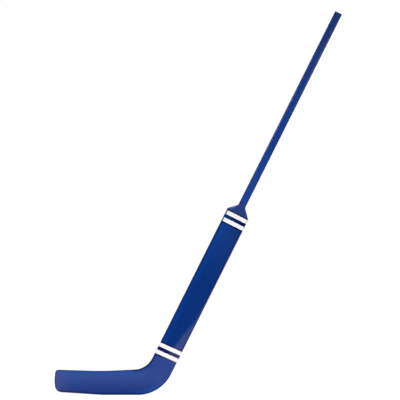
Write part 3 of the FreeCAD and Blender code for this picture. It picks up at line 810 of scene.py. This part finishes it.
def make_band_film():
    """White film, a little grey in patches, and painted grey shade on the corners of the neck's bands."""
    shader = Shader("white_band_film")
    place = shader.stick()
    across, along = shader.size(place, "X"), shader.size(place, "Z")
    mottle = shader.noise(place, 60.0, 4.0)
    streak = shader.noise(place, (40, 40, 1500), 4.0)
    grime = shader.times(shader.span(mottle, 0.55, 0.8, 0.0, 0.08), shader.span(streak, 0.45, 0.75))
    colour = shader.mix(grime, FILM_WHITE, FILM_GRIME)
    # Painted grey shade on the corners at the band ends, strongest at the neck
    trailing_end = shader.span(across, 38.5, 42.5, 0.0, 0.6)
    ends = shader.plus(shader.span(across, *LEADING_RIM), trailing_end)
    at_neck = shader.span(along, 300, 600, 0.05, 1.0)
    on_corner = shader.span(shader.facing(), 0.25, 0.6, 0.12, 1.0)
    colour = shader.mix(shader.times(ends, shader.times(at_neck, on_corner)), colour, FILM_CORNER_SHADE)
    normal = shader.bump(shader.noise(place, 500.0), 0.04, 0.4)
    rough = shader.span(mottle, 0.3, 0.7, 0.26, 0.4)
    shader.set(Base_Color=colour, Roughness=rough, Normal=normal, Specular_IOR_Level=0.25,
               Coat_Weight=0.15, Coat_Roughness=0.1)
    return shader.material


def make_strip_plastic():
    """Hard plastic of the sole, rubbed paler where it meets the ice."""
    shader = Shader("scuffed_sole_plastic")
    long_rub = shader.noise(shader.spot, (30, 500, 500), 5.0, 0.65)
    pits = shader.noise(shader.spot, 600.0)
    down = shader.span(shader.part(shader.normal, "Z"), -0.4, -0.95, 0.0, 0.55)
    colour = shader.mix(shader.span(pits, 0.35, 0.65), STRIP_DARK, STRIP_PALE)
    colour = shader.mix(shader.times(shader.span(long_rub, 0.42, 0.7), down), colour, STRIP_RUB)
    normal = shader.bump(pits, 0.04, 0.5, shader.bump(long_rub, 0.1, 0.4))
    rough = shader.span(long_rub, 0.3, 0.7, 0.34, 0.62)
    shader.set(Base_Color=colour, Roughness=rough, Normal=normal)
    return shader.material


def make_wood(name, pale, dark, rings, pores):
    """Straight-grained wood: rings across the stick, drawn out along it, with short dark pores."""
    shader = Shader(name)
    place = shader.stick()
    bend = shader.noise(place, (30, 30, 3))
    line = shader.plus(shader.part(place, "X"), shader.times(bend, 0.02))
    grain = shader.sine(line, rings * 2 * math.pi)
    colour = shader.mix(shader.span(grain, -0.6, 0.9, 0.0, 0.6), pale, dark)
    pore = shader.span(shader.noise(place, (pores, pores, pores / 20), 2.0), 0.64, 0.72, 0.0, 0.45)
    colour = shader.mix(pore, colour, PORE)
    fibre = shader.noise(place, (1600, 1600, 40), 4.0, 0.6)
    colour = shader.mix(shader.span(fibre, 0.3, 0.7, 0.0, 0.18), colour, dark)
    rough = shader.span(fibre, 0.3, 0.7, 0.5, 0.68)
    shader.set(Base_Color=colour, Roughness=rough, Normal=shader.bump(fibre, 0.08, 0.5))
    return shader.material


def make_glass_strip():
    """Glass threads in amber resin, drawn out along the stick."""
    shader = Shader("glass_in_resin")
    threads = shader.noise(shader.stick(), (2600, 2600, 12), 4.0, 0.6)
    colour = shader.mix(shader.span(threads, 0.35, 0.65), RESIN, GLASS)
    rough = shader.span(threads, 0.3, 0.7, 0.22, 0.4)
    shader.set(Base_Color=colour, Roughness=rough, Normal=shader.bump(threads, 0.06, 0.5),
               Coat_Weight=0.3, Coat_Roughness=0.1)
    return shader.material


def make_foam():
    """Rigid foam with fine closed cells."""
    shader = Shader("rigid_foam")
    cells = shader.cells(shader.spot, 1100.0)
    colour = shader.mix(shader.span(cells, 0.1, 0.6), CELL_HOLLOW, CELL_WALL)
    stain = shader.span(shader.noise(shader.spot, 25.0), 0.4, 0.7, 0.0, 0.2)
    colour = shader.mix(stain, colour, FOAM_STAIN)
    rough = shader.span(cells, 0.1, 0.6, 0.7, 0.9)
    shader.set(Base_Color=colour, Roughness=rough, Normal=shader.bump(cells, 0.4, 0.6))
    return shader.material


PADDLE_PAINT = make_paddle_paint()
MATERIALS = {
    "paddle_paint": PADDLE_PAINT,
    "painted_wood": PADDLE_PAINT,
    "blade_paint": make_blade_paint(),
    "shaft_paint": make_shaft_paint(),
    "band_film": make_band_film(),
    "wear_strip": make_strip_plastic(),
    "light_wood": make_wood("light_wood", LIGHT_WOOD, LIGHT_GRAIN, rings=240, pores=700),
    "hardwood": make_wood("hardwood", HARDWOOD, HARD_GRAIN, rings=420, pores=1200),
    "glass_strip": make_glass_strip(),
    "foam": make_foam(),
}


def paddle_edge(sign):
    """Path along one edge of the paddle, up on the trailing side and down on the leading side."""
    shoulder = SHOULDER if sign == LEADING else TRAILING_SHOULDER
    corners = [
        (sign * HALF_PADDLE, JOINT, 0),
        (sign * HALF_PADDLE, shoulder, SHOULDER_RADIUS),
        (sign * HALF_SHAFT, NECK, NECK_RADIUS),
        (sign * HALF_SHAFT, NECK_TOP, 0),
    ]
    return round_path(corners if sign == TRAILING else corners[::-1])


def make_paddle():
    edges = {"leading": paddle_edge(LEADING), "trailing": paddle_edge(TRAILING)}
    for face, side in (("front", FRONT), ("back", BACK)):
        make_plate(f"paddle_{face}_face", PADDLE, [edges["trailing"], edges["leading"]], side,
                   "paddle_paint", [f"paddle_{face}_skin", f"paddle_{face}_veneer"])
    for edge, sign in (("leading", LEADING), ("trailing", TRAILING)):
        low = cut(edges[edge], 1, JOINT, SHOULDER_FOOT)
        inner = [(sign * (HALF_PADDLE - EDGE_STRIP), s, 0, 0) for _, s, _, _ in low]
        make_rail(f"paddle_{edge}_rail", PADDLE, low, inner, "painted_wood", [f"paddle_{edge}_edge"])
        high = cut(edges[edge], 1, SHOULDER_FOOT, NECK_TOP)
        inner = [(sign * (HALF_SHAFT - EDGE_RADIUS), s, 0, 0) for _, s, _, _ in high]
        make_rail(f"{edge}_shoulder", PADDLE, high, inner, "painted_wood", [f"{edge}_shoulder_block"])


def resample(path, count):
    """The same path with a given number of stations, evenly spaced along it."""
    rows = np.array(path)
    lengths = np.r_[0, np.cumsum(np.linalg.norm(np.diff(rows[:, :2], axis=0), axis=1))]
    places = np.linspace(0, lengths[-1], count)
    return [tuple(row) for row in np.stack([np.interp(places, lengths, column) for column in rows.T], 1)]


def make_blade():
    rim = round_path([
        (*JOINT_LEADING, 0),
        (INNER_X, HEEL_HEIGHT, INNER_RADIUS),
        (VALLEY_X, VALLEY_HEIGHT, VALLEY_RADIUS),
        (TOE_X + TOE_CROWN, TOE_HEIGHT, TOE_TOP_RADIUS),
        (TOE_X, (TOE_HEIGHT + TOE_RISE) / 2, TOE_RADIUS),
        (TOE_X + TOE_CROWN, TOE_RISE, TOE_BOTTOM_RADIUS),
        (-SOLE_FLAT / 2, 0, ROCKER_RADIUS),
        (HEEL_X, 0, HEEL_RADIUS),
        (*JOINT_TRAILING, 0),
    ])
    for face, side in (("front", FRONT), ("back", BACK)):
        make_plate(f"blade_{face}_face", BLADE, [rim], side, "blade_paint", [f"blade_{face}_skin"])
    toe = min(range(len(rim)), key=lambda number: rim[number][0])
    top, sole = rim[:toe + 1], rim[toe:]
    stave = cut(top, 0, STRIP_TOE_X, SCARF_X)
    make_rail("blade_top_edge", BLADE, stave, [(x, STAVE_SPLIT, 0, 0) for x, _, _, _ in stave],
              "blade_paint", ["blade_upper_stave"])
    strip = cut(top, 0, PLAN_TOE_X, STRIP_TOE_X) + cut(sole, 0, PLAN_TOE_X, SCARF_X)[1:]
    inner = [step_in(station, WEAR_STRIP) for station in strip]
    make_rail("blade_sole_strip", BLADE, strip, inner, "wear_strip", ["blade_wear_strip"])
    below = cut(sole, 0, SCARF_X, PLAN_HEEL_X)
    above = resample(cut(top, 0, SCARF_X, PLAN_HEEL_X)[::-1], len(below))
    make_rail("heel_edges", BLADE, below, above, "blade_paint", ["heel_block"], other_rounded=True)


def make_shaft():
    section = rounded_section(HALF_SHAFT, HALF_SHAFT_DEPTH, SHAFT_CORNER)
    ease = 0.3
    profile = [(-SLEEVE_WALL, NECK_TOP), (-SEAM, NECK_TOP), (0, NECK_TOP + SEAM), (0, BUTT - ease),
               (-ease / 3, BUTT - ease / 3), (-ease, BUTT), (-SLEEVE_WALL, BUTT)]
    make_tube("shaft_painted_sleeve", section, profile, "shaft_paint", ["shaft_sleeve"])
    make_lath("spine_core", -CORE_FACE, CORE_FACE, "light_wood", ["shaft_core"])
    for face, side in (("front", FRONT), ("back", BACK)):
        for part, slot, faces in (("ply", "hardwood", (CORE_FACE, PLY_FACE)),
                                  ("stiffener", "glass_strip", (PLY_FACE, SPINE_FACE))):
            low, high = sorted(side * depth for depth in faces)
            make_lath(f"spine_{face}_{part}", low, high, slot, [f"shaft_{face}_{part}"])


def make_bands():
    section = rounded_section(HALF_PADDLE, PADDLE_FACE, EDGE_RADIUS)
    ease = 0.15
    for pair, foot, skew in (("heel", HEEL_BAND, HEEL_BAND_SKEW), ("neck", NECK_BAND, NECK_BAND_SKEW)):
        for place, low in (("low", foot), ("high", foot + BAND_STEP)):
            high = low + BAND_WIDTH
            profile = [(-SEAM, low), (BAND_FILM / 2, low), (BAND_FILM, low + ease), (BAND_FILM, high - ease),
                       (BAND_FILM / 2, high), (-SEAM, high)]
            make_tube(f"{pair}_film_{place}", section, profile, "band_film", [f"{pair}_band_{place}"], skew)


def dress_hidden_nodes():
    """CAD nodes that stay, inside the stick, take the finish of their slot."""
    slots = {"paddle_leading_foam": "foam", "paddle_trailing_foam": "foam", "blade_lower_stave": "light_wood"}
    for name, slot in slots.items():
        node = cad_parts[name]
        node.data.materials.clear()
        node.data.materials.append(MATERIALS[slot])


WHITE, DARK_ROOM = (1, 1, 1, 1), (0.02, 0.022, 0.03, 1)
STICK_MIDDLE = (0.25, 0, 0.6)
# Area lights, in metres and watts: place, target, width, height and power
LIGHTS = {
    "key": ((-2.4, -3.6, 3.8), STICK_MIDDLE, 2.4, 2.0, 135),
    "fill": ((3.4, -4.2, 2.6), STICK_MIDDLE, 2.4, 2.4, 88),
    "top": ((0.3, -0.6, 4.2), STICK_MIDDLE, 2.6, 1.4, 50),
    "back": ((-1.0, 4.5, 3.0), STICK_MIDDLE, 3.0, 2.0, 90),
    "front_panel": ((0.95, -12.0, 1.1), (0.95, 0, 1.1), 1.3, 1.0, 2.0),
}


def grey(value):
    return value, value, value, 1


def make_sheet(name, corners, material):
    """Flat sheet of the studio, with one face between its corners."""
    mesh = bpy.data.meshes.new(name)
    mesh.from_pydata(corners, [], [list(range(len(corners)))])
    mesh.materials.append(material)
    sheet = bpy.data.objects.new(name, mesh)
    bpy.context.scene.collection.objects.link(sheet)
    return sheet


def make_floor():
    """White paper floor, which ends a few metres in front of the stick."""
    near, far, side = -2.46, 8.0, 8.0
    shader = Shader("white_paper")
    paper = shader.mix(shader.noise(shader.spot, 3.0), grey(0.04), grey(0.06))
    shader.set(Base_Color=paper, Roughness=0.9, Specular_IOR_Level=0.0,
               Emission_Color=WHITE, Emission_Strength=1.0)
    corners = [(-side, near, 0), (side, near, 0), (side, far, 0), (-side, far, 0)]
    floor = make_sheet("floor", corners, shader.material)


def make_card():
    """White card low in front, hidden from the camera: gloss paint mirrors its slanting edges."""
    depth = -4.0
    corners = [(0.058, -0.16), (0.60, -0.16), (0.368, 0.215)]
    shader = Shader("white_card")
    shader.set(Base_Color=grey(0.2), Roughness=0.9, Emission_Color=WHITE, Emission_Strength=0.88)
    card = make_sheet("card", [(x, depth, z) for x, z in corners], shader.material)
    card.visible_camera = False


def make_lights():
    for name, (place, target, width, height, power) in LIGHTS.items():
        light = bpy.data.lights.new(name, "AREA")
        light.shape = "RECTANGLE"
        light.size, light.size_y = width, height
        light.energy = power
        lamp = bpy.data.objects.new(name, light)
        lamp.location = place
        lamp.rotation_euler = (Vector(target) - Vector(place)).to_track_quat("-Z", "Y").to_euler()
        lamp.visible_camera = False
        bpy.context.scene.collection.objects.link(lamp)


def make_world():
    """White behind everything that the camera sees, and a dark room for light and reflections."""
    world = bpy.data.worlds.new("studio")
    bpy.context.scene.world = world
    world.use_nodes = True
    tree = world.node_tree
    tree.nodes.clear()
    ray = tree.nodes.new("ShaderNodeLightPath")
    room, backdrop = (tree.nodes.new("ShaderNodeBackground") for _ in range(2))
    room.inputs["Color"].default_value = DARK_ROOM
    backdrop.inputs["Color"].default_value = WHITE
    blend = tree.nodes.new("ShaderNodeMixShader")
    output = tree.nodes.new("ShaderNodeOutputWorld")
    tree.links.new(ray.outputs["Is Camera Ray"], blend.inputs[0])
    tree.links.new(room.outputs[0], blend.inputs[1])
    tree.links.new(backdrop.outputs[0], blend.inputs[2])
    tree.links.new(blend.outputs[0], output.inputs[0])
    bpy.context.scene.view_settings.view_transform = "Standard"


def make_camera():
    """Long lens square to the front face, framed as the photograph is, with its slight roll."""
    distance, frame_side = 10.0, 1.446
    centre_x, centre_z = HEEL_X * MM + 0.1434, 0.70395
    roll = math.radians(0.1)
    data = bpy.data.cameras.new("camera")
    data.lens = data.sensor_width * distance / frame_side
    data.clip_end = 200
    camera = bpy.data.objects.new("camera", data)
    camera.location = (centre_x, -distance, centre_z)
    camera.rotation_euler = (math.pi / 2, roll, 0)
    bpy.context.scene.collection.objects.link(camera)
    bpy.context.scene.camera = camera


make_camera()
make_lights()
make_world()
make_floor()
make_card()
make_paddle()
make_blade()
make_shaft()
make_bands()
dress_hidden_nodes()
